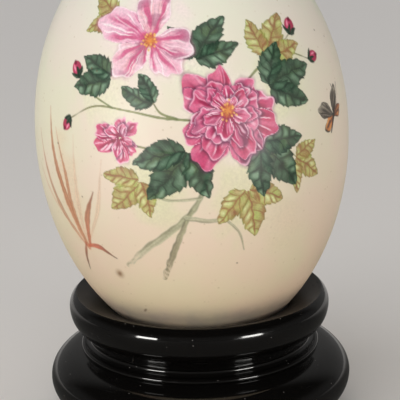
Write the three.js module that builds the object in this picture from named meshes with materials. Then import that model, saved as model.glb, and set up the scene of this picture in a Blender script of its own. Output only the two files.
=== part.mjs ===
// A painted ostrich egg that rests in a stand turned from one piece of wood and lacquered black.
// Millimetres, +Z up. The origin is the middle of the stand's foot, on the surface it stands on,
// and the painted front faces -Y.

import * as THREE from 'three';

// The egg: a smooth oval, a little fuller at its upper end, that leans in its seat.
const EGG_RADIUS = 61;
const EGG_HALF_LENGTH = 84.2;
const EGG_FULLNESS = 0.02; // share by which the upper end is wider than a plain ellipse
const EGG_CENTRE_Z = 115;
const EGG_LEAN_DEG = 2.3; // the top leans towards -X
const EGG_LEAN_PIVOT_Z = 83; // where the surface normals at the seat meet the egg's axis

// The seat: a dish that follows the egg and meets it at the lip, inside the upper roll.
const SEAT_Z = 48.8;
const SEAT_GAP = 0.9; // level distance from the lip to an upright egg
const DISH_CLEARANCE = 1.6; // under the egg's lower end

// The upper roll, from a funnel that rises from the lip, over its crest and round to the waist.
const CREST_RADIUS = 50;
const CREST_Z = 53;
const CREST_EDGE = 0.5; // radius of the turn from the roll's outside into the funnel
const CREST_TURN_DEG = 55; // how far round its oval section the roll rises to the crest
const UPPER_ROLL_RADIUS = 52.5;
const UPPER_ROLL_Z = 47.8;
const UPPER_ROLL_UNDERSIDE_RADIUS = 45.9; // at the lowest point of its oval section
const UPPER_ROLL_UNDERSIDE_Z = 38.2;
const UNDERSIDE_TURN_DEG = 70; // how far round that section the roll turns under, down to the neck

// The waist: a neck that narrows down to a small hollow, which turns out into a bead.
const WAIST_HOLLOW_RADIUS = 1.8;
const BEAD_RADIUS = 48.4; // out to its widest line
const BEAD_Z = 31.1;
const BEAD_ROUND = 1.2; // radius of its section
const BEAD_TURN_DEG = 108; // how far its section turns before the hollow begins

// The lower roll, wider than the upper one.
const LOWER_ROLL_RADIUS = 61.1;
const LOWER_ROLL_Z = 18.7;
const LOWER_ROLL_DEPTH = 14.4; // from the middle of its section out to its widest line
const LOWER_ROLL_RISE = 11.3;
const LOWER_ROLL_FALL = 11.9;

// The foot: a low disc with a shallow recess under it, which leaves a ring to stand on.
const FOOT_RADIUS = 54.5;
const FOOT_HEIGHT = 4;
const FOOT_EDGE = 0.7;
const RECESS_RADIUS = 46;
const RECESS_DEPTH = 1.5;

const SIDES = 56; // flats round each turned form

const radians = THREE.MathUtils.degToRad;

// Points on an ellipse's arc, in the plane of radius and height, both ends included.
function arc(centreR, centreZ, radiusR, radiusZ, fromDeg, toDeg, steps) {
  const points = [];
  for (let i = 0; i <= steps; i++) {
    const angle = radians(fromDeg + ((toDeg - fromDeg) * i) / steps);
    points.push(new THREE.Vector2(centreR + radiusR * Math.cos(angle), centreZ + radiusZ * Math.sin(angle)));
  }
  return points;
}

function turned(profile) {
  return new THREE.LatheGeometry(profile, SIDES).rotateX(Math.PI / 2);
}

// The egg's radius at a height, where t runs from -1 at its lower end to 1 at its upper end.
function eggRadius(t) {
  return EGG_RADIUS * Math.sqrt(Math.max(0, 1 - t * t)) * (1 + EGG_FULLNESS * t);
}

function eggGeometry() {
  const steps = 30;
  const profile = [];
  for (let i = 0; i <= steps; i++) {
    const t = -Math.cos((Math.PI * i) / steps);
    const onAxis = i === 0 || i === steps;
    profile.push(new THREE.Vector2(onAxis ? 0 : eggRadius(t), EGG_HALF_LENGTH * t));
  }
  return turned(profile);
}

function standProfile() {
  const lipRadius = eggRadius((SEAT_Z - EGG_CENTRE_Z) / EGG_HALF_LENGTH) + SEAT_GAP;

  const foot = [
    new THREE.Vector2(0, RECESS_DEPTH),
    new THREE.Vector2(RECESS_RADIUS, RECESS_DEPTH),
    new THREE.Vector2(RECESS_RADIUS + RECESS_DEPTH, 0),
    ...arc(FOOT_RADIUS - FOOT_EDGE, FOOT_EDGE, FOOT_EDGE, FOOT_EDGE, -90, 0, 2),
    ...arc(FOOT_RADIUS - FOOT_EDGE, FOOT_HEIGHT - FOOT_EDGE, FOOT_EDGE, FOOT_EDGE, 0, 90, 2),
  ];

  const rollMiddle = LOWER_ROLL_RADIUS - LOWER_ROLL_DEPTH;
  const lowerRoll = [
    ...arc(rollMiddle, LOWER_ROLL_Z, LOWER_ROLL_DEPTH, LOWER_ROLL_FALL, -64, 0, 6),
    ...arc(rollMiddle, LOWER_ROLL_Z, LOWER_ROLL_DEPTH, LOWER_ROLL_RISE, 0, 80, 8).slice(1),
  ];

  const beadMiddle = BEAD_RADIUS - BEAD_ROUND;
  const bead = arc(beadMiddle, BEAD_Z, BEAD_ROUND, BEAD_ROUND, -50, BEAD_TURN_DEG, 5);

  const reach = BEAD_ROUND + WAIST_HOLLOW_RADIUS;
  const hollowMiddle = beadMiddle + reach * Math.cos(radians(BEAD_TURN_DEG));
  const hollowZ = BEAD_Z + reach * Math.sin(radians(BEAD_TURN_DEG));
  const hollowFrom = 180 + BEAD_TURN_DEG;
  const waist = arc(hollowMiddle, hollowZ, WAIST_HOLLOW_RADIUS, WAIST_HOLLOW_RADIUS, hollowFrom, 180, 4).slice(1);

  const underDepth = UPPER_ROLL_RADIUS - UPPER_ROLL_UNDERSIDE_RADIUS;
  const underDrop = UPPER_ROLL_Z - UPPER_ROLL_UNDERSIDE_Z;
  const turn = radians(CREST_TURN_DEG);
  const rollDepth = (UPPER_ROLL_RADIUS - CREST_RADIUS) / (1 - Math.cos(turn));
  const rollRise = (CREST_Z - UPPER_ROLL_Z) / Math.sin(turn);
  const facing = Math.atan2(Math.sin(turn) / rollRise, Math.cos(turn) / rollDepth);
  const edgeRadius = CREST_RADIUS - CREST_EDGE * Math.cos(facing);
  const edgeZ = CREST_Z - CREST_EDGE * Math.sin(facing);
  const funnelSlope = Math.atan2(CREST_Z - SEAT_Z, CREST_RADIUS - lipRadius);
  const from = THREE.MathUtils.radToDeg(facing);
  const to = 90 + THREE.MathUtils.radToDeg(funnelSlope);
  const upperRoll = [
    ...arc(UPPER_ROLL_UNDERSIDE_RADIUS, UPPER_ROLL_Z, underDepth, underDrop, -UNDERSIDE_TURN_DEG, 0, 6),
    ...arc(UPPER_ROLL_RADIUS - rollDepth, UPPER_ROLL_Z, rollDepth, rollRise, 0, CREST_TURN_DEG, 6).slice(1),
    ...arc(edgeRadius, edgeZ, CREST_EDGE, CREST_EDGE, from, to, 2).slice(1),
    new THREE.Vector2(lipRadius, SEAT_Z),
  ];

  // The dish is part of an ellipse with the egg's own centre, just larger than the egg.
  const dishDepth = EGG_HALF_LENGTH + DISH_CLEARANCE;
  const lipDrop = (EGG_CENTRE_Z - SEAT_Z) / dishDepth;
  const dishRadius = lipRadius / Math.sqrt(1 - lipDrop * lipDrop);
  const lipAngle = THREE.MathUtils.radToDeg(Math.asin(lipDrop));
  const dish = arc(0, EGG_CENTRE_Z, dishRadius, dishDepth, -lipAngle, -90, 8).slice(1);
  dish[dish.length - 1].x = 0;

  return [...foot, ...lowerRoll, ...bead, ...waist, ...upperRoll, ...dish];
}

function ostrichEgg() {
  const shell = new THREE.MeshStandardMaterial({ color: '#ddcfb2', roughness: 0.45, metalness: 0 });
  const egg = new THREE.Mesh(eggGeometry(), shell);
  egg.name = 'ostrich_egg';
  egg.position.z = EGG_CENTRE_Z - EGG_LEAN_PIVOT_Z;
  const leaning = new THREE.Group();
  leaning.position.z = EGG_LEAN_PIVOT_Z;
  leaning.rotation.y = -radians(EGG_LEAN_DEG);
  leaning.add(egg);
  return leaning;
}

function stand() {
  const lacquer = new THREE.MeshStandardMaterial({ color: '#0f0e0e', roughness: 0.12, metalness: 0 });
  const wood = new THREE.Mesh(turned(standProfile()), lacquer);
  wood.name = 'stand';
  return wood;
}

const object = new THREE.Group();
object.add(stand(), ostrichEgg());

export default object;
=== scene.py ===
"""A painted ostrich egg on a stand of turned, black lacquered wood: the visible model.

The egg is ground smooth, painted in gouache on its front and varnished to a satin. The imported
model gives the frame: metres, +Z up, the painted front towards -Y. Forms are worked out in
millimetres, as a maker would measure them, and turned to metres as they are placed.
"""
import math

import bpy
import numpy as np
from mathutils import Matrix, Vector


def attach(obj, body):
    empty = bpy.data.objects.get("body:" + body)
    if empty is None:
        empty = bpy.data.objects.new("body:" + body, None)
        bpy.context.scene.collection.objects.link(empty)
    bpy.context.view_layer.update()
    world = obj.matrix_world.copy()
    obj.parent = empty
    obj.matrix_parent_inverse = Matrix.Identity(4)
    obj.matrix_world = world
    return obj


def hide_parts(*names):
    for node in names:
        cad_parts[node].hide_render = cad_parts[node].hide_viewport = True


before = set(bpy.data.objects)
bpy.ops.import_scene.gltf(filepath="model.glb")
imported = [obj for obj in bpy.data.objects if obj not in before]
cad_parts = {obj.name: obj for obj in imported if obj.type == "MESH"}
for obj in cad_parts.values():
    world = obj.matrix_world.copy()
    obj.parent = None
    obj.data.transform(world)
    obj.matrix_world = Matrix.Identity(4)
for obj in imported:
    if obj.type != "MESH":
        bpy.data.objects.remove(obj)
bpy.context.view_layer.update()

MM = 0.001

# The egg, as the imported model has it.
EGG_RADIUS = 61.0
EGG_HALF_LENGTH = 84.2
EGG_FULLNESS = 0.02         # share by which the upper end is wider than a plain ellipse
EGG_CENTRE_Z = 115.0
EGG_LEAN = math.radians(2.3)
EGG_LEAN_PIVOT_Z = 83.0

# The stand's turned section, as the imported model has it. Turns are degrees round an oval or
# round section, from its widest line.
SEAT_Z = 48.8
SEAT_GAP = 0.9              # level distance from the lip to an upright egg
DISH_CLEARANCE = 1.6        # under the egg's lower end
CREST_RADIUS = 50.0
CREST_Z = 53.0
CREST_EDGE = 0.5            # radius of the turn from the roll's outside into the funnel
CREST_TURN = 55.0           # up to the crest
UPPER_ROLL_RADIUS = 52.5
UPPER_ROLL_Z = 47.8
UNDERSIDE_RADIUS = 45.9     # at the lowest point of the upper roll's oval
UNDERSIDE_Z = 38.2
UNDERSIDE_TURN = 70.0       # down to the neck
HOLLOW_ROUND = 1.8          # radius of the hollow's section, at the foot of the neck
BEAD_RADIUS = 48.4
BEAD_Z = 31.1
BEAD_ROUND = 1.2            # radius of the bead's section
BEAD_TURN = 108.0           # up to the hollow
BEAD_TUCK = 50.0            # down to the lower roll
LOWER_ROLL_RADIUS = 61.1
LOWER_ROLL_Z = 18.7
LOWER_ROLL_DEPTH = 14.4     # from the middle of its section out to its widest line
LOWER_ROLL_RISE = 11.3
LOWER_ROLL_FALL = 11.9
LOWER_ROLL_TURN = 80.0      # up to the bead
LOWER_ROLL_TUCK = 64.0      # down to the foot
FOOT_RADIUS = 54.5
FOOT_HEIGHT = 4.0
FOOT_EDGE = 0.7
RECESS_RADIUS = 46.0
RECESS_DEPTH = 1.5


# ---------------------------------------------------------------- helpers

def rgb(code):
    """An sRGB hex colour as three shares of 1, the space in which the paints are mixed."""
    return np.array([int(code[i:i + 2], 16) / 255 for i in (1, 3, 5)])


def to_linear(shares):
    """sRGB shares of 1 as linear ones."""
    return np.where(shares <= 0.04045, shares / 12.92, ((shares + 0.055) / 1.055) ** 2.4)


def opaque(code):
    """An sRGB hex colour as a shader's socket takes it: linear, with full cover."""
    return [*to_linear(rgb(code)), 1]


def per_mm(size):
    """The scale of a pattern in metres whose repeat is this many millimetres."""
    return 1 / (size * MM)


def add(tree, kind, settings=None, **links):
    """A node with its settings, and its inputs linked or set; _ stands for a space in their names."""
    node = tree.nodes.new(kind)
    for name, value in (settings or {}).items():
        setattr(node, name, value)
    for name, value in links.items():
        socket = node.inputs[int(name[1:]) if name[1:].isdigit() else name.replace("_", " ")]
        if isinstance(value, bpy.types.NodeSocket):
            tree.links.new(value, socket)
        else:
            socket.default_value = value
    return node


def noise(tree, place, size, detail):
    """An uneven pattern with swells of about this size in mm."""
    node = add(tree, "ShaderNodeTexNoise", Vector=place, Scale=per_mm(size), Detail=detail)
    return node.outputs["Fac"]


def maths(tree, operation, *values):
    """The result of an operation on two or three values."""
    links = {f"_{i}": value for i, value in enumerate(values)}
    return add(tree, "ShaderNodeMath", {"operation": operation}, **links).outputs[0]


def carry(tree, value, given, to=(0, 1), eased=False):
    """A value carried from one range over to another, and held within it."""
    kind = "SMOOTHSTEP" if eased else "LINEAR"
    return add(
        tree, "ShaderNodeMapRange", {"interpolation_type": kind}, Value=value,
        From_Min=given[0], From_Max=given[1], To_Min=to[0], To_Max=to[1]).outputs[0]


def blend(tree, share, first, second, kind="MIX"):
    """The first colour with a share of the second over it, or multiplied by it."""
    return add(
        tree, "ShaderNodeMix", {"data_type": "RGBA", "blend_type": kind}, Factor=share,
        _6=first, _7=second).outputs[2]


def deselect():
    """Nothing selected, so that an operator acts on the new piece alone."""
    bpy.ops.object.select_all(action="DESELECT")


def new_material(name):
    """A material with an empty node tree."""
    material = bpy.data.materials.new(name)
    material.use_nodes = True
    material.node_tree.nodes.clear()
    return material


# ---------------------------------------------------------------- the egg

def egg_radius(t):
    """The egg's radius where t runs from -1 at its lower end to 1 at its upper end."""
    return EGG_RADIUS * np.sqrt(np.maximum(0, 1 - t * t)) * (1 + EGG_FULLNESS * t)


def egg_surface(directions):
    """Points of the upright egg, in mm, for points of the unit sphere."""
    t = directions[:, 2]
    points = directions * EGG_RADIUS
    points[:, :2] *= (1 + EGG_FULLNESS * t)[:, None]
    points[:, 2] = EGG_CENTRE_Z + EGG_HALF_LENGTH * t
    return points


def leaned(points):
    """The upright egg's points after it leans in its seat, its top towards -X."""
    x, y, z = points.T
    rise = z - EGG_LEAN_PIVOT_Z
    across = x * math.cos(EGG_LEAN) - rise * math.sin(EGG_LEAN)
    up = x * math.sin(EGG_LEAN) + rise * math.cos(EGG_LEAN) + EGG_LEAN_PIVOT_Z
    return np.stack([across, y, up], axis=1)


# ---------------------------------------------------------------- gouache

def ease(value, low, high):
    """0 below low, 1 above high and smooth between them."""
    t = np.clip((value - low) / (high - low), 0, 1)
    return t * t * (3 - 2 * t)


def mix(first, second, share):
    """The first colour with a share of the second over it, point by point."""
    share = np.clip(share, 0, 1)[..., None]
    return first * (1 - share) + second * share


def ramp(share, colours):
    """A colour for each share from 0 to 1 along a row of evenly spaced colours."""
    stops = np.linspace(0, 1, len(colours))
    return np.stack([np.interp(share, stops, [c[i] for c in colours]) for i in range(3)], axis=-1)


def ripple(across, along, size, seed):
    """A smooth uneven pattern, mostly from -1 to 1, with swells of about this size in mm."""
    draw = np.random.default_rng(seed)
    total = 0
    for _ in range(5):
        way = draw.uniform(0, 2 * math.pi)
        pace = 2 * math.pi / (size * draw.uniform(0.6, 1.6))
        phase = draw.uniform(0, 2 * math.pi)
        total = total + np.sin((across * math.cos(way) + along * math.sin(way)) * pace + phase)
    return total / 3.2


def egg_place(turn, height):
    """A point of the upright egg, and the way round the egg and the way up it there."""
    t = (height - EGG_CENTRE_Z) / EGG_HALF_LENGTH
    step = 0.001
    radius = egg_radius(t)
    slope = (egg_radius(t + step) - radius) / (step * EGG_HALF_LENGTH)
    a = math.radians(turn)
    out = np.array([math.sin(a), -math.cos(a), 0])
    east = np.array([math.cos(a), math.sin(a), 0])
    north = out * slope + np.array([0, 0, 1])
    return out * radius + np.array([0, 0, height]), east, north / np.linalg.norm(north)


class Canvas:
    """The paint on the egg, point by point: its colour, already multiplied by its cover. Brushwork
    marks where paint has an edge; grow widens every edge by these mm, to find where detail goes."""

    def __init__(self, points, grow=0.0):
        self.points = points
        self.grow = grow
        self.colour = np.zeros((len(points), 3))
        self.cover = np.zeros(len(points))
        self.brushwork = np.zeros(len(points))

    def patch(self, turn, height, aim, reach):
        """The points near a place, and how far they lie across and along from it, in mm, for a
        motif that points aim degrees clockwise from straight up."""
        centre, east, north = egg_place(turn, height)
        offset = self.points - centre
        reach = reach + self.grow
        near = np.flatnonzero((offset * offset).sum(axis=1) < reach * reach)
        x, y = offset[near] @ east, offset[near] @ north
        a = math.radians(aim)
        return near, x * math.cos(a) - y * math.sin(a), x * math.sin(a) + y * math.cos(a)

    def lay(self, near, colour, strength):
        """Thin paint, or a shade over paint that is there."""
        strength = np.clip(strength, 0, 1)
        self.colour[near] = colour * strength[:, None] + self.colour[near] * (1 - strength[:, None])
        self.cover[near] = strength + self.cover[near] * (1 - strength)

    def brush(self, near, colour, edge, soft, strength=1.0, where=1.0):
        """Paint up to an edge, given as mm inside it, where the bristles leave it this soft."""
        covering = strength * ease(edge + self.grow, -soft, soft) * where
        self.brushwork[near] = np.maximum(self.brushwork[near], covering)
        self.lay(near, colour, covering)


def tones(**codes):
    """A palette: the paints of one kind of motif, by the part that each plays."""
    return {name: rgb(code) for name, code in codes.items()}


MAGENTA = tones(
    shade="#5b2344", deep="#971c47", body="#c02c60", light="#df7f9d", rim="#f6d3dd", other="#d0465f")
PALE_ROSE = tones(
    shade="#a8627c", deep="#cc4f7b", body="#e8a9be", light="#f0ccd5", rim="#f8ebe9", other="#e9b8b0")
DARK_LEAF = tones(deep="#182e20", body="#30543a", light="#7b9a7d", edge="#1a2c1e", other="#506334")
YOUNG_LEAF = tones(deep="#94603a", body="#abb25c", light="#d5d89a", edge="#72792f", other="#bfae62")
SOFT_EDGE = 0.17    # mm to each side of an edge over which a petal or a leaf fades


def hand(across, along, seed, sway=0.32):
    """Moves a motif's lines a little, as a hand does."""
    swayed_across = across + sway * ripple(across, along, 5, seed + 7)
    swayed_along = along + sway * ripple(across, along, 6, seed + 8)
    return swayed_across, swayed_along


def petal(canvas, turn, height, aim, length, spread, colours, seed, start=0.0, veins=6):
    """One petal: a fan from its base with a ruffled edge, streaked along its length and veined and
    rimmed here and there in paler body colour. It throws a dark edge on the paint beneath."""
    draw = np.random.default_rng(seed)
    near, across, along = canvas.patch(turn, height, aim, length * 1.25 + start + 2)
    across, along = hand(across, along - start, seed)
    radius = np.hypot(across, along)
    angle = np.arctan2(across, along)
    half = math.radians(spread) / 2
    q = angle / half
    fan = np.cos(np.clip(q, -1, 1) * math.pi / 2) ** 0.4
    ruffle = 1 + 0.08 * np.sin(angle * draw.uniform(4, 8) + draw.uniform(0, 6))
    ruffle += 0.045 * np.sin(angle * draw.uniform(12, 20) + draw.uniform(0, 6))
    outline = length * fan * ruffle
    edge = outline - radius
    s = radius / np.maximum(outline, 0.05)

    cast = ease(edge, -1.5, 0.1) * (np.abs(q) < 1.25) * 0.6
    canvas.lay(near, colours["shade"], cast * canvas.cover[near])

    body = mix(colours["body"], colours["other"], draw.uniform(0, 0.6))
    depth = draw.uniform(0.35, 0.75)
    colour = mix(colours["deep"], body, ease(s + 0.16 * ripple(across, along, 5, seed), 0.05, depth))
    pale = ease(s + 0.25 * ripple(across, along, 6, seed + 1), 0.5, 1.15) * draw.uniform(0.3, 1)
    colour = mix(colour, colours["light"], pale)
    dusk = draw.choice([0.0, 0.0, 0.65]) * ease(ripple(across, along, 9, seed + 5), -0.1, 0.7)
    colour = mix(colour, colours["shade"], dusk)
    sway = 1.1 * np.sin(s * draw.uniform(2, 5) + draw.uniform(0, 6))
    streaks = np.sin(q * draw.uniform(6, 12) + sway + draw.uniform(0, 6))
    folds = 0.85 * ease(streaks, 0.1, 0.9) * ease(s, 0.05, 0.3) * (1 - ease(s, 0.65, 1))
    colour = mix(colour, colours["deep"], folds)
    colour = mix(colour, colours["light"], 0.55 * ease(-streaks, 0.3, 1) * ease(s, 0.25, 0.6))
    fine = np.sin(q * draw.uniform(26, 38) + 2 * sway)
    hairs = 0.3 * ease(fine, 0.5, 1) * ease(s, 0.1, 0.3) * (1 - ease(s, 0.5, 0.9))
    colour = mix(colour, colours["shade"], hairs)
    for spot in np.linspace(-0.82, 0.82, veins):
        line = spot + draw.uniform(-0.12, 0.12) + draw.uniform(-0.35, 0.35) * (s - 0.5) ** 2
        gap = np.abs(q - line) * half * radius
        starts, ends = draw.uniform(0.15, 0.55), draw.uniform(0.8, 1.05)
        drawn = ease(s, starts, starts + 0.15) * (1 - ease(s, ends - 0.12, ends + 0.02))
        width = draw.uniform(0.14, 0.4) * (0.6 + 0.6 * s)
        vein = draw.uniform(0.3, 1.0) * drawn * (1 - ease(gap, width * 0.4, width * 1.3))
        colour = mix(colour, colours["rim"], vein)
    rim_width = 0.4 + 0.38 * np.sin(angle * draw.uniform(3, 9) + draw.uniform(0, 6))
    rim_width = rim_width + draw.uniform(-0.1, 0.15)
    rim = draw.uniform(0.5, 1.0) * (1 - ease(edge, rim_width * 0.5, rim_width * 1.3 + 0.02))
    colour = mix(colour, colours["rim"], rim * (rim_width > 0.06))
    canvas.brush(near, colour, edge, SOFT_EDGE, 0.97, where=np.abs(q) < 1)


def ring_of_petals(
        canvas, turn, height, count, length, spread, colours, seed, start=0.0, first=0.0, tilt=0.0):
    """Petals round one centre, longest on the side that the bloom tilts to."""
    draw = np.random.default_rng(seed)
    for i in draw.permutation(count):
        aim = first + 360 * i / count + draw.uniform(-14, 14)
        reach = length * (1 + 0.16 * math.cos(math.radians(aim - tilt))) * draw.uniform(0.84, 1.08)
        fan = spread * draw.uniform(0.85, 1.15)
        petal(canvas, turn, height, aim, reach, fan, colours, seed + 31 * int(i), start)


def dab(canvas, turn, height, aim, length, width, colour, strength=1.0, soft=0.2, off=(0.0, 0.0)):
    """An oval touch of the brush, centred off the place by these mm across and along."""
    near, across, along = canvas.patch(turn, height, aim, length + width + max(map(abs, off)) + 1)
    away = np.hypot((across - off[0]) / width * 2, (along - off[1]) / length * 2)
    canvas.brush(near, rgb(colour), (1 - away) * min(width, length) / 2, soft, strength)


def stamens(canvas, turn, height, radius, seed):
    """A tuft of golden filaments, russet between, with paler heads."""
    draw = np.random.default_rng(seed)
    dab(canvas, turn, height, 0, radius * 1.6, radius * 1.3, "#b8502c", 0.8, soft=0.8)
    for i in range(15):
        aim = 360 * i / 15 + draw.uniform(-9, 9)
        out = radius * draw.uniform(0.35, 0.8)
        dab(canvas, turn, height, aim, out * 1.4, 0.38, "#d98a3c", 0.9, off=(0, out * 0.6))
    for i in range(14):
        aim = 360 * i / 14 + draw.uniform(-13, 13)
        out = radius * draw.uniform(0.45, 1.15)
        dab(canvas, turn, height, aim, 0.8, 0.7, "#eeb85e", 0.95, off=(0, out))


def bloom(canvas, turn, height, size, colours, seed, tilt=200.0):
    """A full, many-petalled bloom, laid ring by ring towards its middle."""
    rings = ((9, 1.0, 70, 0.4, 0), (8, 0.8, 74, 0.4, 22), (7, 0.6, 78, 0.3, 8), (5, 0.4, 84, 0.4, 40))
    for i, (count, share, spread, start, first) in enumerate(rings):
        ring_of_petals(
            canvas, turn, height, count, size * share, spread, colours, seed + i, start, first, tilt)


def leaf(canvas, turn, height, aim, length, width, colours, seed, bend=0.0, pairs=5, start=0.0):
    """A pointed oval leaf with forward teeth, veins in the deep tone and lights between them, one
    half paler than the other."""
    draw = np.random.default_rng(seed)
    near, across, along = canvas.patch(turn, height, aim, (length + start) * 1.15)
    across, along = hand(across, along - start, seed, 0.4)
    x = along / length
    inside = (x > 0) & (x < 1)
    x = np.clip(x, 0.0001, 0.9999)
    across = across - bend * length * x ** 2
    side = np.sign(across)
    half = width / 2 * np.sin(math.pi * x ** 0.78) ** 0.8 * (1 + 0.12 * side * draw.uniform(-1, 1))
    teeth = (x * pairs * draw.uniform(1.2, 1.7) + 0.3 * side + draw.uniform(0, 1)) % 1
    half = half * (0.84 + 0.16 * teeth)
    edge = half - np.abs(across)
    c = np.abs(across) / np.maximum(half, 0.05)
    rib = x * pairs - draw.uniform(0.55, 0.8) * np.abs(across) / length * pairs + 0.2 * side
    rib = rib + 0.12 * ripple(across, along, 5, seed + 2)
    between = rib % 1
    gap = np.minimum(between, 1 - between) * length / pairs * 0.85

    colour = mix(colours["deep"], colours["body"], 0.6 + 0.5 * ripple(across, along, 5, seed))
    colour = mix(colour, colours["other"], 0.5 * ease(ripple(across, along, 8, seed + 3), 0.1, 0.9))
    lit_side = draw.choice([-1, 1])
    lights = np.sin(math.pi * between) ** 1.2 * ease(c, 0.08, 0.35) * (1 - ease(c, 0.6, 1.0))
    lights = lights * np.where(side == lit_side, 1.0, 0.45)
    lights = lights * (0.7 + 0.5 * ripple(across, along, 6, seed + 1))
    colour = mix(colour, colours["light"], lights)
    slant = (x - 0.6 * np.abs(across) / length) * length * 7
    bristles = np.sin(slant + 2 * ripple(across, along, 4, seed + 4))
    colour = mix(colour, colours["light"], 0.16 * ease(bristles, 0.2, 1) * (1 - ease(c, 0.7, 1)))
    veining = (1 - ease(gap, 0.08, 0.4)) * (1 - ease(c, 0.75, 1))
    veining = veining * (0.7 + 0.3 * ripple(across, along, 4, seed + 5))
    colour = mix(colour, colours["deep"], 0.85 * veining)
    midrib = 0.9 * (1 - ease(np.abs(across), 0.12, 0.42)) * (1 - ease(x, 0.85, 1))
    colour = mix(colour, colours["deep"], midrib)
    outline = (1 - ease(edge, 0.1, 0.6)) * (0.6 + 0.5 * ripple(across, along, 6, seed + 6))
    colour = mix(colour, colours["edge"], 0.7 * outline)
    canvas.brush(near, colour, edge, SOFT_EDGE, 0.95, where=inside)


def smooth_path(places, per_span=7):
    """A smooth line over the egg through places given as turn and height."""
    knots = np.array([egg_place(*place)[0] for place in places])
    knots = np.vstack([2 * knots[0] - knots[1], knots, 2 * knots[-1] - knots[-2]])
    line = []
    for a, b, c, d in zip(knots[:-3], knots[1:-2], knots[2:-1], knots[3:]):
        for t in np.arange(per_span) / per_span:
            square = (2 * a - 5 * b + 4 * c - d) * t ** 2
            cube = (3 * b - a - 3 * c + d) * t ** 3
            line.append((2 * b + (c - a) * t + square + cube) / 2)
    line.append(knots[-2])
    return np.array(line)


def stroke(canvas, places, widths, colours, strength=1.0, soft=0.18, shade=None, seed=0, dry=1.0):
    """A brush stroke through places, with its widths in mm and colours spaced along it; a shade
    is laid along its right side, and from the share dry on the brush leaves only bristle marks."""
    path = smooth_path(places)
    margin = max(widths) + 1 + canvas.grow
    low, high = path.min(axis=0) - margin, path.max(axis=0) + margin
    near = np.flatnonzero(((canvas.points > low) & (canvas.points < high)).all(axis=1))
    points = canvas.points[near]
    spans = path[1:] - path[:-1]
    t = ((points[:, None] - path[:-1]) * spans).sum(axis=2) / (spans * spans).sum(axis=1)
    t = np.clip(t, 0, 1)
    offsets = points[:, None] - (path[:-1] + t[..., None] * spans)
    away = np.linalg.norm(offsets, axis=2)
    best = away.argmin(axis=1)
    rows = np.arange(len(near))
    away = away[rows, best]
    share = (best + t[rows, best]) / len(spans)
    half = np.interp(share, np.linspace(0, 1, len(widths)), widths) / 2
    half = half * (1 + 0.2 * ripple(points[:, 0], points[:, 2], 4, seed + 9))
    right = np.cross(spans[best], points * [1, 1, 0])
    c = np.sign((right * offsets[rows, best]).sum(axis=1)) * away / np.maximum(half, 0.05)
    colour = ramp(share, [rgb(code) for code in colours])
    bristles = np.sin(c * 5 + 2.5 * ripple(points[:, 0], points[:, 2], 9, seed + 3))
    colour = colour * (1 + 0.07 * bristles[:, None])
    if shade:
        right_side = ease(c + 0.3 * ripple(points[:, 0], points[:, 2], 6, seed), 0, 0.9)
        colour = mix(colour, rgb(shade), 0.75 * right_side)
    marks = ripple(points[:, 0], points[:, 2], 2.2, seed + 4) + 0.5 * np.sin(c * 11)
    bare = ease(share, dry, dry + 0.3) * ease(marks, -0.9, 0.6)
    canvas.brush(near, colour, half - away, soft, strength * (1 - 0.9 * bare))


def wash(canvas, turn, height, across_size, along_size, aim, colour, strength, seed):
    """Thinned colour with an uneven, soft edge."""
    near, across, along = canvas.patch(turn, height, aim, max(across_size, along_size) * 0.9)
    away = np.hypot(across / across_size * 2, along / along_size * 2)
    away = away + 0.22 * ripple(across, along, 8, seed)
    canvas.lay(near, rgb(colour), strength * (1 - ease(away, 0.3, 1.05)))


def spray(canvas, turn, height, aim, size, colours, seed, leaflets):
    """Leaflets round the end of one stalk, each turned this far from its aim."""
    for i, lean in enumerate(leaflets):
        length = size * (1, 0.88, 0.8)[i]
        width = length * (0.62, 0.58, 0.64)[i]
        bend = 0.12 * (-1) ** i
        leaf(canvas, turn, height, aim + lean, length, width, colours, seed + i, bend, start=0.6)


def rosehip(canvas, turn, height, aim, size, seed):
    """A crimson hip with lights along its side, in a small green cup."""
    dab(canvas, turn, height, aim, size * 1.3, size, "#a81f4a", 0.96, off=(0, size * 0.75))
    glow, glint = (-size * 0.14, size * 0.8), (-size * 0.2, size * 0.9)
    dab(canvas, turn, height, aim, size, size * 0.45, "#d34a6e", 0.8, soft=0.4, off=glow)
    dab(canvas, turn, height, aim, size * 0.5, size * 0.14, "#f3b9c4", 0.8, off=glint)
    dab(canvas, turn, height, aim, size * 0.4, size * 0.3, "#6d1230", 0.8, off=(0, size * 1.3))
    for i, lean in enumerate((-42, 0, 40)):
        leaf(canvas, turn, height, aim + lean, size * 0.95, size * 0.36, DARK_LEAF, seed + i, pairs=2)


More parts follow.
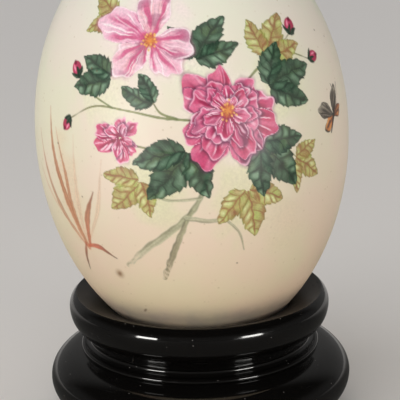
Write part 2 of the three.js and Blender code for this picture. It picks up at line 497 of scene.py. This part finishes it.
def paint_stems(canvas):
    """One woody stem that forks low down, and the green stalks that leave it."""
    woody = ["#8f9270", "#a7a685", "#b9b596"]
    bark = "#77775a"
    trunk = [(6, 116), (2, 104), (-3, 97), (-11, 90.5), (-19, 85), (-27.5, 78)]
    stroke(canvas, trunk, [1.2, 1.8, 2.2, 2.6, 2.6, 1.7], woody, 0.85, 0.3, bark, 1, dry=0.72)
    fork = [(-1, 100), (-5, 91.5), (-8.5, 84), (-13.5, 73.5)]
    darker = ["#a3a280", "#948f6e", "#7a7354"]
    stroke(canvas, fork, [1.2, 2.0, 2.4, 1.9], darker, 0.85, 0.25, "#645f46", 2, dry=0.7)
    bough = [(-3, 97), (7, 95.5), (15, 98), (20, 104)]
    stroke(canvas, bough, [2.0, 1.5, 1.1, 0.8], woody[::-1], 0.8, 0.25, bark, 3)
    twig = [(10, 96), (15, 90), (17, 83)]
    stroke(canvas, twig, [1.0, 0.9, 0.3], ["#b5b193", "#8d8a68"], 0.75, 0.25, bark, 4)
    side_shoot = [(2, 104), (-9, 104), (-18, 109)]
    stroke(canvas, side_shoot, [1.2, 1.0, 0.6], woody[::-1], 0.8, 0.2, bark, 5)
    green = ["#6f7a4a", "#83874f", "#6d6b3c"]
    for places, widths in (
            ([(-4, 120), (-13, 122), (-21, 124)], [1.0, 0.8, 0.6]),
            ([(2, 131), (-9, 132.5), (-20, 135), (-33, 136.5), (-44, 132)], [0.9, 0.8, 0.7, 0.6, 0.4]),
            ([(-26, 136), (-35, 141), (-41, 147)], [0.7, 0.6, 0.4]),
            ([(-4, 132), (-9, 134), (-11.5, 137.5)], [0.8, 0.7, 0.6]),
            ([(15, 137), (24, 145.5), (34, 151), (43, 156.5)], [0.9, 0.8, 0.6, 0.4]),
            ([(34, 151), (41, 150), (49, 147)], [0.7, 0.6, 0.4]),
            ([(24, 123), (31, 119.5), (38, 113)], [0.8, 0.7, 0.4])):
        stroke(canvas, places, widths, green, 0.9, seed=int(places[0][1]))


def paint_washes(canvas):
    """Thin greens, pinks and buffs round the plants."""
    for turn, height, across, along, aim, colour, strength, seed in (
            (-14, 106, 40, 24, 60, "#d0d4a4", 0.5, 1),
            (16, 104, 40, 24, 100, "#d5d6a6", 0.5, 2),
            (-30, 141, 26, 32, 20, "#dddfb6", 0.45, 3),
            (34, 142, 26, 40, 15, "#d4d7a6", 0.45, 4),
            (1, 149, 22, 18, 80, "#dde0c0", 0.45, 5),
            (-12, 158, 42, 42, 0, "#f2d8d8", 0.45, 6),
            (14, 132, 44, 44, 0, "#f0dcd8", 0.35, 7),
            (-48, 105, 16, 56, -8, "#dcbf9c", 0.4, 8),
            (32, 92, 34, 24, 70, "#d9c7a4", 0.3, 9)):
        wash(canvas, turn, height, across, along, aim, colour, strength, seed)


def paint_grasses(canvas):
    """Russet blades that rise from one tuft near the left side."""
    russet = ["#c98f6c", "#b06a42", "#c08a66"]
    faint = ["#d9b493", "#d3b193"]
    rusty = ["#bd6444", "#b3704f", "#85482f"]
    fiery = ["#cc7454", "#bd5a40", "#5e3c24"]
    for i, (places, widths, colours, strength) in enumerate((
            ([(-42, 88), (-35, 100), (-31, 118)], [0.8, 1.8, 0.3], faint, 0.55),
            ([(-48, 88), (-62, 102), (-70, 114)], [0.8, 1.8, 0.3], faint, 0.55),
            ([(-45, 84), (-44, 104), (-43, 126)], [1.2, 2.0, 0.3], faint, 0.5),
            ([(-45, 83), (-50, 100), (-55, 118), (-57, 135)], [1.6, 2.9, 2.1, 0.3], russet, 0.8),
            ([(-45, 84), (-48, 98), (-49, 112), (-53, 128)], [1.0, 2.0, 1.6, 0.2], russet[::-1], 0.7),
            ([(-46, 84), (-55, 96), (-61, 108), (-66, 126)], [1.2, 2.3, 2.0, 0.3], russet, 0.65),
            ([(-44, 84), (-41, 96), (-36, 106)], [1.2, 2.7, 0.3], rusty, 0.85),
            ([(-45, 84), (-39.5, 84.5), (-32, 80.5)], [1.2, 2.2, 0.4], fiery, 0.85),
            ([(-46, 85), (-49, 79), (-51, 73)], [1.2, 1.3, 0.4], ["#b5694a", "#5e3c24"], 0.85))):
        stroke(canvas, places, widths, colours, strength, soft=0.28, seed=60 + i)


def paint_butterfly(canvas):
    """A small butterfly at the right side, grey brown with orange hind wings."""
    grey = tones(
        shade="#4a4138", deep="#38322d", body="#6b6459", light="#b0a795", rim="#2c2622", other="#7d6a55")
    orange = tones(
        shade="#7a3d1c", deep="#54362a", body="#c46c34", light="#e0a35c", rim="#3a2a22", other="#d4894a")
    turn, height = 59, 125
    petal(canvas, turn, height, -62, 10.5, 66, grey, 71, veins=4)
    petal(canvas, turn, height, 14, 11.0, 58, grey, 72, veins=4)
    petal(canvas, turn, height, -122, 7.4, 74, orange, 73, veins=3)
    petal(canvas, turn, height, 70, 7.0, 74, orange, 74, veins=3)
    body = ["#2c2520", "#3d332b", "#2c2520"]
    tail, head = (turn - 2.5, height - 5.5), (turn + 2, height + 4.5)
    stroke(canvas, [tail, (turn, height), head], [0.7, 1.5, 0.8], body)
    feeler = [0.35, 0.3, 0.25]
    stroke(canvas, [head, (turn + 2.6, height + 8), (turn + 1, height + 11.5)], feeler, body)
    stroke(canvas, [head, (turn + 4.8, height + 7.5), (turn + 6, height + 11.5)], feeler, body)


def paint_dirt(canvas):
    """A brown smudge, a slanted fleck and a scatter of tiny dark specks."""
    smudge, fleck = (-33.2, 73.9), (-28.6, 57.4)
    dab(canvas, *smudge, 10, 3.4, 3.0, "#8a6238", 0.6, soft=1.2)
    dab(canvas, *smudge, 30, 1.6, 1.2, "#6a4526", 0.6, soft=0.5)
    dab(canvas, *fleck, 40, 2.4, 0.9, "#6b4a33", 0.7, soft=0.3)
    for turn, height, size in (
            (-51.8, 122.2, 0.7), (-41.5, 103.7, 0.6), (-35.6, 149.2, 0.6), (-33.1, 148.3, 0.5),
            (63.2, 133.3, 0.7), (37.2, 116.2, 0.5), (59.9, 155.9, 0.7), (67.3, 152.9, 0.6),
            (14.6, 77.9, 0.6)):
        dab(canvas, turn, height, 0, size, size, "#6a5138", 0.8, soft=0.2)


def paint(canvas):
    """All the brushwork, in the order in which it is laid: washes, grasses, stems, leaves, hips,
    blooms and the butterfly. The dirt lies over the paint."""
    paint_washes(canvas)
    paint_grasses(canvas)
    paint_stems(canvas)
    for turn, height, aim, size, colours, seed, leaflets in (
            (-17, 111, 222, 16, YOUNG_LEAF, 201, (0, 62, -58)),
            (18, 106, 165, 18, YOUNG_LEAF, 211, (0, 62, -58)),
            (36, 114, 118, 14, YOUNG_LEAF, 221, (0, 62, -58)),
            (30, 150, 25, 17, YOUNG_LEAF, 231, (0, 58, -50)),
            (-27, 166, -50, 15, YOUNG_LEAF, 241, (0, -50)),
            (-26, 146, -105, 17, DARK_LEAF, 251, (0, 52)),
            (3, 151, 30, 18, DARK_LEAF, 261, (0, 48, -70)),
            (28, 140, 66, 20, DARK_LEAF, 271, (0, 52, -48)),
            (-1, 121, 215, 22, DARK_LEAF, 281, (0, 50, -62)),
            (23, 121, 132, 21, DARK_LEAF, 291, (0, 52, -50)),
            (-11, 137, -70, 13, DARK_LEAF, 301, (0, 50))):
        spray(canvas, turn, height, aim, size, colours, seed, leaflets)
    for turn, height, aim, size, seed in (
            (-44, 132.5, -140, 4.4, 401), (-41, 146, -30, 4.6, 411),
            (43, 156, 20, 4.6, 421), (49, 147, 80, 4.3, 431)):
        rosehip(canvas, turn, height, aim, size, seed)
    pale, small, full = (-12.7, 158), (-23.5, 126), (12.8, 133)
    ring_of_petals(canvas, *pale, 5, 16.5, 86, PALE_ROSE, 503, start=0.4, first=10, tilt=330)
    stamens(canvas, *pale, 3.0, 520)
    ring_of_petals(canvas, *small, 6, 8.4, 74, MAGENTA, 531, start=0.2, tilt=240)
    ring_of_petals(canvas, *small, 4, 5.2, 86, MAGENTA, 541, start=0.2, first=30, tilt=240)
    bloom(canvas, *full, 17.4, MAGENTA, 601)
    stamens(canvas, full[0], full[1] + 0.6, 3.1, 640)
    paint_butterfly(canvas)
    paint_dirt(canvas)


def painted(upright, grow=0.0):
    """The finished painting, at points of the upright egg."""
    canvas = Canvas(upright, grow)
    paint(canvas)
    return canvas


def linear_paint(canvas):
    """The paint as linear colours times cover, with the cover as alpha."""
    mixed = np.clip(canvas.colour / np.maximum(canvas.cover, 0.001)[:, None], 0, 1)
    return np.column_stack([to_linear(mixed) * canvas.cover[:, None], canvas.cover])


# ---------------------------------------------------------------- egg mesh

EGG_SEGMENTS = 112
EGG_RINGS = 68
PAINTED_TURN = 80.0    # degrees either side of the front
PAINTED_LOW = 52.0     # heights, in mm
PAINTED_HIGH = 184.0
FRONT_CUTS = 1         # over the whole painted front: a mesh of about 1.7 mm
MOTIF_CUTS = 2         # where a brush went: about 0.57 mm
MOTIF_REACH = 1.3      # mm past a motif's edge
MOTIF_COVER = 0.02     # the least brushwork that counts
DETAIL_CUTS = 1        # where the paint changes within a face: about 0.28 mm
DETAIL_CONTRAST = 0.045


def vertex_array(mesh):
    """The places of a mesh's vertices, one in each row."""
    co = np.empty(len(mesh.vertices) * 3)
    mesh.vertices.foreach_get("co", co)
    return co.reshape(-1, 3)


def unit_directions(mesh):
    """The vertices' directions from the middle, which puts cut-in ones back on the sphere."""
    directions = vertex_array(mesh)
    return directions / np.linalg.norm(directions, axis=1)[:, None]


def subdivide_faces(mesh, chosen, cuts):
    """Subdivides the chosen faces, given as a true or false for each."""
    bpy.context.tool_settings.mesh_select_mode = (False, False, True)
    mesh.vertices.foreach_set("select", np.zeros(len(mesh.vertices), bool))
    mesh.edges.foreach_set("select", np.zeros(len(mesh.edges), bool))
    mesh.polygons.foreach_set("select", chosen)
    bpy.ops.object.mode_set(mode="EDIT")
    bpy.ops.mesh.subdivide(number_cuts=cuts, ngon=False)
    bpy.ops.object.mode_set(mode="OBJECT")


def over_faces(mesh, values, gather):
    """Gathers a value of the vertices over each face's corners, such as their highest."""
    corners = np.empty(len(mesh.loops), np.int32)
    mesh.loops.foreach_get("vertex_index", corners)
    starts = np.empty(len(mesh.polygons), np.int32)
    mesh.polygons.foreach_get("loop_start", starts)
    return gather.reduceat(values[corners], starts)


def make_egg():
    """A sphere made fine over its painted front, finest where the paint changes, and then drawn
    out to the egg."""
    deselect()
    bpy.ops.mesh.primitive_uv_sphere_add(segments=EGG_SEGMENTS, ring_count=EGG_RINGS, radius=1)
    egg = bpy.context.object
    egg.name = "painted_ostrich_egg"
    mesh = egg.data

    points = egg_surface(unit_directions(mesh))
    turn = np.degrees(np.arctan2(points[:, 0], -points[:, 1]))
    high_enough = (points[:, 2] > PAINTED_LOW) & (points[:, 2] < PAINTED_HIGH)
    front = (np.abs(turn) < PAINTED_TURN) & high_enough
    subdivide_faces(mesh, over_faces(mesh, front, np.logical_and), FRONT_CUTS)

    broad = painted(egg_surface(unit_directions(mesh)), MOTIF_REACH)
    subdivide_faces(mesh, over_faces(mesh, broad.brushwork, np.maximum) > MOTIF_COVER, MOTIF_CUTS)

    coarse = linear_paint(painted(egg_surface(unit_directions(mesh))))
    spread = over_faces(mesh, coarse, np.maximum) - over_faces(mesh, coarse, np.minimum)
    subdivide_faces(mesh, spread.max(axis=1) > DETAIL_CONTRAST, DETAIL_CUTS)

    upright = egg_surface(unit_directions(mesh))
    gouache = mesh.color_attributes.new(name="gouache", type="FLOAT_COLOR", domain="POINT")
    gouache.data.foreach_set("color", linear_paint(painted(upright)).ravel())
    mesh.vertices.foreach_set("co", (leaned(upright) * MM).ravel())
    mesh.update()
    bpy.ops.object.shade_smooth()
    return egg


# ---------------------------------------------------------------- the stand

STAND_STEPS = 160             # steps of the lathe's turn
WELD = 0.01 * MM              # points closer than this are one
CREASE = math.radians(35)     # a sharper turn than this stays an edge


def arc(centre_r, centre_z, radius_r, radius_z, start, end, step=4.0):
    """Points on an ellipse's arc, in radius and height, every few degrees, ends included."""
    count = max(2, round(abs(end - start) / step))
    angles = np.radians(np.linspace(start, end, count + 1))
    return [(centre_r + radius_r * math.cos(a), centre_z + radius_z * math.sin(a)) for a in angles]


def stand_section():
    """Half of the section: from the middle of the recess out round the foot, up over the rolls
    and the waist between them, over the crest to the lip, and down the dish to the middle."""
    lip = float(egg_radius((SEAT_Z - EGG_CENTRE_Z) / EGG_HALF_LENGTH)) + SEAT_GAP
    foot = [
        (0, RECESS_DEPTH),
        (RECESS_RADIUS, RECESS_DEPTH),
        (RECESS_RADIUS + RECESS_DEPTH, 0),
        *arc(FOOT_RADIUS - FOOT_EDGE, FOOT_EDGE, FOOT_EDGE, FOOT_EDGE, -90, 0, 30),
        *arc(FOOT_RADIUS - FOOT_EDGE, FOOT_HEIGHT - FOOT_EDGE, FOOT_EDGE, FOOT_EDGE, 0, 90, 30),
    ]
    middle = LOWER_ROLL_RADIUS - LOWER_ROLL_DEPTH
    lower_roll = [
        *arc(middle, LOWER_ROLL_Z, LOWER_ROLL_DEPTH, LOWER_ROLL_FALL, -LOWER_ROLL_TUCK, 0),
        *arc(middle, LOWER_ROLL_Z, LOWER_ROLL_DEPTH, LOWER_ROLL_RISE, 0, LOWER_ROLL_TURN)[1:],
    ]
    bead_r = BEAD_RADIUS - BEAD_ROUND
    bead = arc(bead_r, BEAD_Z, BEAD_ROUND, BEAD_ROUND, -BEAD_TUCK, BEAD_TURN, 10)
    reach = BEAD_ROUND + HOLLOW_ROUND
    hollow_r = bead_r + reach * math.cos(math.radians(BEAD_TURN))
    hollow_z = BEAD_Z + reach * math.sin(math.radians(BEAD_TURN))
    hollow = arc(hollow_r, hollow_z, HOLLOW_ROUND, HOLLOW_ROUND, 180 + BEAD_TURN, 180, 9)[1:]
    under_depth = UPPER_ROLL_RADIUS - UNDERSIDE_RADIUS
    under_drop = UPPER_ROLL_Z - UNDERSIDE_Z
    turn = math.radians(CREST_TURN)
    roll_depth = (UPPER_ROLL_RADIUS - CREST_RADIUS) / (1 - math.cos(turn))
    roll_rise = (CREST_Z - UPPER_ROLL_Z) / math.sin(turn)
    facing = math.atan2(math.sin(turn) / roll_rise, math.cos(turn) / roll_depth)
    edge_r = CREST_RADIUS - CREST_EDGE * math.cos(facing)
    edge_z = CREST_Z - CREST_EDGE * math.sin(facing)
    funnel_slope = math.atan2(CREST_Z - SEAT_Z, CREST_RADIUS - lip)
    start, end = math.degrees(facing), 90 + math.degrees(funnel_slope)
    upper_roll = [
        *arc(UNDERSIDE_RADIUS, UPPER_ROLL_Z, under_depth, under_drop, -UNDERSIDE_TURN, 0),
        *arc(UPPER_ROLL_RADIUS - roll_depth, UPPER_ROLL_Z, roll_depth, roll_rise, 0, CREST_TURN)[1:],
        *arc(edge_r, edge_z, CREST_EDGE, CREST_EDGE, start, end, 10)[1:],
        (lip, SEAT_Z),
    ]
    dish_depth = EGG_HALF_LENGTH + DISH_CLEARANCE
    lip_drop = (EGG_CENTRE_Z - SEAT_Z) / dish_depth
    dish_radius = lip / math.sqrt(1 - lip_drop * lip_drop)
    lip_angle = math.degrees(math.asin(lip_drop))
    dish = arc(0, EGG_CENTRE_Z, dish_radius, dish_depth, -lip_angle, -90)[1:]
    dish[-1] = (0, dish[-1][1])
    return [*foot, *lower_roll, *bead, *hollow, *upper_roll, *dish]


def make_stand():
    """Draws the section from one corner by extruding, then spins it as on a lathe."""
    section = [Vector((r * MM, 0, z * MM)) for r, z in stand_section()]
    deselect()
    bpy.ops.mesh.primitive_plane_add(size=MM)
    stand = bpy.context.object
    stand.name = "black_lacquered_stand"
    bpy.ops.object.mode_set(mode="EDIT")
    bpy.ops.mesh.select_mode(type="VERT")
    bpy.ops.mesh.select_all(action="SELECT")
    bpy.ops.mesh.merge(type="CENTER")
    bpy.ops.transform.translate(value=section[0])
    for here, there in zip(section[:-1], section[1:]):
        bpy.ops.mesh.extrude_region_move(TRANSFORM_OT_translate={"value": there - here})
    bpy.ops.mesh.select_all(action="SELECT")
    bpy.ops.mesh.spin(steps=STAND_STEPS, angle=2 * math.pi, center=(0, 0, 0), axis=(0, 0, 1))
    bpy.ops.mesh.select_all(action="SELECT")
    bpy.ops.mesh.remove_doubles(threshold=WELD)
    bpy.ops.mesh.normals_make_consistent(inside=False)
    bpy.ops.object.mode_set(mode="OBJECT")
    bpy.ops.object.shade_smooth_by_angle(angle=CREASE)
    return stand


# ---------------------------------------------------------------- materials

IVORY = "#e6e7dc"             # the shell high up
LOW_BUFF = "#e1ccb2"         # and low down, yellower and a little darker
PINKISH_CLOUD = "#fff7f3"     # the clouds multiply the shell's colour
GREENISH_CLOUD = "#fafdf0"
PORE_BROWN = "#b39a74"
# grey of the band just above the stand: grime and painted shade
GRIME_AND_SHADE_GREY = "#a29a94"
LACQUER_BLACK = "#080706"
DUST_GREY = "#57534e"


def eggshell_material():
    """Ostrich shell, ground smooth and varnished. It is ivory at the top and a yellower, darker buff
    towards the bottom, in clouds of pinkish beige and green yellow. Pores show as faint dots and pits, a
    band just above the stand is greyed with grime and painted shade, and the paint is grainy with
    pigment. The varnish gives a satin sheen that the fine pitting breaks up."""
    material = new_material("varnished_ostrich_shell")
    tree = material.node_tree
    place = add(tree, "ShaderNodeTexCoord").outputs["Object"]
    height = add(tree, "ShaderNodeSeparateXYZ", Vector=place).outputs["Z"]

    # the shell turns yellower and darker towards the bottom
    height_share = carry(tree, height, (60 * MM, 190 * MM))
    varnish = blend(tree, height_share, opaque(LOW_BUFF), opaque(IVORY))
    clouds = noise(tree, place, 34, 4)
    tints = add(tree, "ShaderNodeValToRGB", Fac=clouds)
    tints.color_ramp.elements[0].position = 0.38
    tints.color_ramp.elements[0].color = opaque(PINKISH_CLOUD)
    tints.color_ramp.elements[1].position = 0.62
    tints.color_ramp.elements[1].color = opaque(GREENISH_CLOUD)
    clouded = blend(tree, 1, varnish, tints.outputs["Color"], "MULTIPLY")

    # The real pores are about 0.3 mm across; they are drawn nearer 0.6 mm, so that they show.
    cells = add(tree, "ShaderNodeTexVoronoi", Vector=place, Scale=per_mm(3.2))
    pores = carry(tree, cells.outputs["Distance"], (0.05, 0.17), (1, 0), eased=True)
    patches = noise(tree, place, 11, 2)
    open_pores = carry(tree, patches, (0.4, 0.7), (0.05, 0.5))
    dots = maths(tree, "MULTIPLY", pores, open_pores)
    pored = blend(tree, dots, clouded, opaque(PORE_BROWN))

    # Painted shade with grey grime: a band just above the stand is greyed in patches, most strongly
    # nearest the stand.
    low = carry(tree, height, (50 * MM, 62 * MM), (1, 0), eased=True)
    drifts = noise(tree, place, 7, 5)
    grime_and_shade_patches = carry(tree, drifts, (0.35, 0.7), (0.12, 0.5))
    grime_and_shade = maths(tree, "MULTIPLY", low, grime_and_shade_patches)
    grimy_and_shaded = blend(tree, grime_and_shade, pored, opaque(GRIME_AND_SHADE_GREY))

    paint_layer = add(tree, "ShaderNodeAttribute", {"attribute_name": "gouache"})
    pigment = noise(tree, place, 0.9, 2)
    grain = carry(tree, pigment, (0.3, 0.7), (0.88, 1.1))
    grainy = add(
        tree, "ShaderNodeVectorMath", {"operation": "SCALE"},
        Vector=paint_layer.outputs["Color"], Scale=grain)
    bare = maths(tree, "SUBTRACT", 1, paint_layer.outputs["Alpha"])
    colour = add(
        tree, "ShaderNodeVectorMath", {"operation": "MULTIPLY_ADD"},
        _0=grimy_and_shaded, _1=bare, _2=grainy.outputs[0])

    pits = maths(tree, "MULTIPLY", dots, -1)
    relief = maths(tree, "ADD", pits, pigment)
    bump = add(tree, "ShaderNodeBump", Strength=0.12, Distance=0.1 * MM, Height=relief)
    sheen = carry(tree, patches, (0.3, 0.7), (0.38, 0.5))
    shader = add(
        tree, "ShaderNodeBsdfPrincipled", Base_Color=colour.outputs[0], Roughness=sheen,
        Normal=bump.outputs[0])
    add(tree, "ShaderNodeOutputMaterial", Surface=shader.outputs["BSDF"])
    return material


def lacquer_material():
    """Black lacquer, brushed on over turned wood and rubbed: deep black under a clear gloss. The
    highlights waver a little over the brush's ripples and dull where hands have rubbed and where
    fine scratches run round the rolls. The seat is dull too, worn by the egg, and pale dust has
    settled on what faces up."""
    material = new_material("black_lacquer_on_turned_wood")
    tree = material.node_tree
    place = add(tree, "ShaderNodeTexCoord").outputs["Object"]

    rubbed = noise(tree, place, 22, 3)
    gloss = carry(tree, rubbed, (0.35, 0.7), (0.06, 0.15))
    level = add(tree, "ShaderNodeMapping", Vector=place, Scale=(1, 1, 16))
    hairlines = noise(tree, level.outputs[0], 14, 5)
    scratches = carry(tree, hairlines, (0.62, 0.68), (0, 0.16))
    worn = maths(tree, "ADD", gloss, scratches)

    level_place = add(tree, "ShaderNodeVectorMath", {"operation": "MULTIPLY"}, _0=place, _1=(1, 1, 0))
    radius = add(tree, "ShaderNodeVectorMath", {"operation": "LENGTH"}, _0=level_place.outputs[0])
    height = add(tree, "ShaderNodeSeparateXYZ", Vector=place).outputs["Z"]
    crest = (CREST_RADIUS - 1) * MM, (CREST_RADIUS + 0.5) * MM
    inner = carry(tree, radius.outputs["Value"], crest, (0.25, 0), eased=True)
    upper = maths(tree, "GREATER_THAN", height, SEAT_Z * MM)
    seat = maths(tree, "MULTIPLY_ADD", inner, upper, worn)

    # A grain of dust is drawn up to 0.5 mm across, so that it shows.
    grains = add(tree, "ShaderNodeTexVoronoi", Vector=place, Scale=per_mm(2.4))
    speck = carry(tree, grains.outputs["Distance"], (0.06, 0.11), (1, 0))
    lots = add(tree, "ShaderNodeSeparateColor", Color=grains.outputs["Color"])
    facing = add(tree, "ShaderNodeNewGeometry").outputs["Normal"]
    upward = add(tree, "ShaderNodeSeparateXYZ", Vector=facing).outputs["Z"]
    chance = carry(tree, upward, (-0.2, 0.7), (0.95, 0.55))
    chosen = maths(tree, "GREATER_THAN", lots.outputs[0], chance)
    dust = maths(tree, "MULTIPLY", speck, chosen)
    colour = blend(tree, dust, opaque(LACQUER_BLACK), opaque(DUST_GREY))
    roughness = carry(tree, dust, (0, 1), (seat, 0.9))

    ripples = noise(tree, place, 10, 1)
    bump = add(tree, "ShaderNodeBump", Strength=0.1, Distance=0.3 * MM, Height=ripples)
    shader = add(
        tree, "ShaderNodeBsdfPrincipled", Base_Color=colour, Roughness=roughness,
        Normal=bump.outputs[0])
    add(tree, "ShaderNodeOutputMaterial", Surface=shader.outputs["BSDF"])
    return material


# ---------------------------------------------------------------- studio

FLOOR_COLOUR = "#e8e2d9"
# the floor in front as the lacquer's gloss sees it: a painted dark reflection
DARK_REFLECTION_COLOUR = "#66645f"
DARK_REFLECTION_EDGE = (0.04, 0.3)     # from the full painted dark reflection to none, in metres along Y
BACKDROP_COLOUR = "#b7b4b1"
AMBIENT_COLOUR = "#fbfcff"
AMBIENT_STRENGTH = 0.36
ROOM_TINT = (1, 0.98, 0.95, 1)    # linear; the room is what the gloss shows
ROOM_LOW = 0.12             # its strength low down
ROOM_BACK = 0.2             # and behind
LAMP_COLOUR = "#fffdf8"
LAMP_DISTANCE = 0.85        # the lamps' places and sizes are in metres
LAMP_AIM_Z = 0.06
LAMP_WIDTH = 0.26
DAYLIGHT_COLOUR = "#f3f6ff"
DAYLIGHT_SPREAD = math.radians(80)
CAMERA_PLACE = (0.00118, -0.4255, 0.19265)
CAMERA_PITCH = math.radians(13.7)
CAMERA_ROLL = math.radians(1.2)
CAMERA_LENS = 98.73
SENSOR_WIDTH = 36.0


def add_camera():
    """The view of the painted front, close to and a little from above."""
    level = Vector((1, 0, 0))
    upward = Vector((0, math.sin(CAMERA_PITCH), math.cos(CAMERA_PITCH)))
    forward = Vector((0, math.cos(CAMERA_PITCH), -math.sin(CAMERA_PITCH)))
    right = level * math.cos(CAMERA_ROLL) - upward * math.sin(CAMERA_ROLL)
    up = level * math.sin(CAMERA_ROLL) + upward * math.cos(CAMERA_ROLL)
    data = bpy.data.cameras.new("camera")
    data.lens = CAMERA_LENS
    data.sensor_width = SENSOR_WIDTH
    data.clip_start = 0.01
    camera = bpy.data.objects.new("camera", data)
    turn = Matrix((right, up, -forward)).transposed().to_4x4()
    camera.matrix_world = Matrix.Translation(CAMERA_PLACE) @ turn
    bpy.context.scene.collection.objects.link(camera)
    bpy.context.scene.camera = camera


def lamp_direction(azimuth, elevation):
    """From the object towards a lamp; azimuth 0 is in front, 90 towards +X."""
    around, above = math.radians(azimuth), math.radians(elevation)
    return Vector((
        math.sin(around) * math.cos(above), -math.cos(around) * math.cos(above), math.sin(above)))


def add_softbox(name, azimuth, elevation, depth, power, glint):
    """A soft rectangular lamp that faces the object: a glint shows only in the gloss, and the
    others only light it."""
    towards = lamp_direction(azimuth, elevation)
    data = bpy.data.lights.new(name, "AREA")
    data.shape = "RECTANGLE"
    data.size, data.size_y = LAMP_WIDTH, depth
    data.energy = power
    data.color = to_linear(rgb(LAMP_COLOUR))
    lamp = bpy.data.objects.new(name, data)
    lamp.location = Vector((0, 0, LAMP_AIM_Z)) + towards * LAMP_DISTANCE
    lamp.rotation_euler = towards.to_track_quat("Z", "Y").to_euler()
    lamp.visible_glossy = glint
    lamp.visible_diffuse = not glint
    bpy.context.scene.collection.objects.link(lamp)


def add_daylight(azimuth, elevation, strength):
    """Broad, very soft light from one side, which the gloss doesn't show."""
    data = bpy.data.lights.new("soft_daylight", "SUN")
    data.angle = DAYLIGHT_SPREAD
    data.energy = strength
    data.color = to_linear(rgb(DAYLIGHT_COLOUR))
    lamp = bpy.data.objects.new("soft_daylight", data)
    lamp.rotation_euler = lamp_direction(azimuth, elevation).to_track_quat("Z", "Y").to_euler()
    lamp.visible_glossy = False
    bpy.context.scene.collection.objects.link(lamp)


def add_floor():
    """A plain pale floor. In the gloss of the lacquer the part in front shows dark: a painted dark
    reflection, as if a dark sheet lay there just out of view."""
    deselect()
    bpy.ops.mesh.primitive_plane_add(size=12)
    floor = bpy.context.object
    floor.name = "floor"
    material = new_material("plain_pale_floor")
    tree = material.node_tree
    place = add(tree, "ShaderNodeTexCoord").outputs["Object"]
    axes = add(tree, "ShaderNodeSeparateXYZ", Vector=place)
    # Painted dark reflection: glossy rays see the front of the floor dark.
    dark_reflection = carry(tree, axes.outputs["Y"], DARK_REFLECTION_EDGE, (1, 0), eased=True)
    rays = add(tree, "ShaderNodeLightPath")
    dark_in_gloss = maths(tree, "MULTIPLY", dark_reflection, rays.outputs["Is Glossy Ray"])
    colour = blend(tree, dark_in_gloss, opaque(FLOOR_COLOUR), opaque(DARK_REFLECTION_COLOUR))
    shader = add(tree, "ShaderNodeBsdfPrincipled", Base_Color=colour, Roughness=0.9)
    add(tree, "ShaderNodeOutputMaterial", Surface=shader.outputs["BSDF"])
    floor.data.materials.append(material)


def add_world():
    """Plain pale to the eye, and soft light from all round; in the gloss, a room that is dim in
    front, dark overhead and grey behind."""
    world = bpy.data.worlds.new("studio")
    bpy.context.scene.world = world
    world.use_nodes = True
    tree = world.node_tree
    tree.nodes.clear()
    direction = add(tree, "ShaderNodeTexCoord").outputs["Generated"]
    axes = add(tree, "ShaderNodeSeparateXYZ", Vector=direction)
    back = carry(tree, axes.outputs["Y"], (0.25, 0.65), (0, ROOM_BACK), eased=True)
    low = carry(tree, axes.outputs["Z"], (0.2, 0.55), (ROOM_LOW, 0.01), eased=True)
    level = maths(tree, "MAXIMUM", back, low)
    room = add(tree, "ShaderNodeBackground", Color=ROOM_TINT, Strength=level)
    ambient = add(
        tree, "ShaderNodeBackground", Color=opaque(AMBIENT_COLOUR), Strength=AMBIENT_STRENGTH)
    seen = add(tree, "ShaderNodeBackground", Color=opaque(BACKDROP_COLOUR), Strength=1.0)
    rays = add(tree, "ShaderNodeLightPath")
    light = add(
        tree, "ShaderNodeMixShader", Fac=rays.outputs["Is Glossy Ray"],
        _1=ambient.outputs[0], _2=room.outputs[0])
    mixed = add(
        tree, "ShaderNodeMixShader", Fac=rays.outputs["Is Camera Ray"],
        _1=light.outputs[0], _2=seen.outputs[0])
    add(tree, "ShaderNodeOutputWorld", Surface=mixed.outputs[0])


def add_studio():
    """The floor, the room, lamps to each side in front, daylight from the left and the camera."""
    bpy.context.scene.view_settings.view_transform = "Standard"
    add_floor()
    add_world()
    for side, azimuth, power in (("left", -43.5, 1.7), ("right", 43, 1.6)):
        add_softbox(side + "_softbox", azimuth, 12, 0.1, power, glint=False)
    for side, azimuth, power in (("left", -43.5, 2.9), ("right", 43, 2.7)):
        add_softbox(side + "_glint", azimuth, 3, 0.13, power, glint=True)
    add_daylight(-36, 42, 1.45)
    add_camera()


# ---------------------------------------------------------------- the object

egg = make_egg()
egg.data.materials.append(eggshell_material())
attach(egg, "root")
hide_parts("ostrich_egg")

stand = make_stand()
stand.data.materials.append(lacquer_material())
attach(stand, "root")
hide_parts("stand")

add_studio()
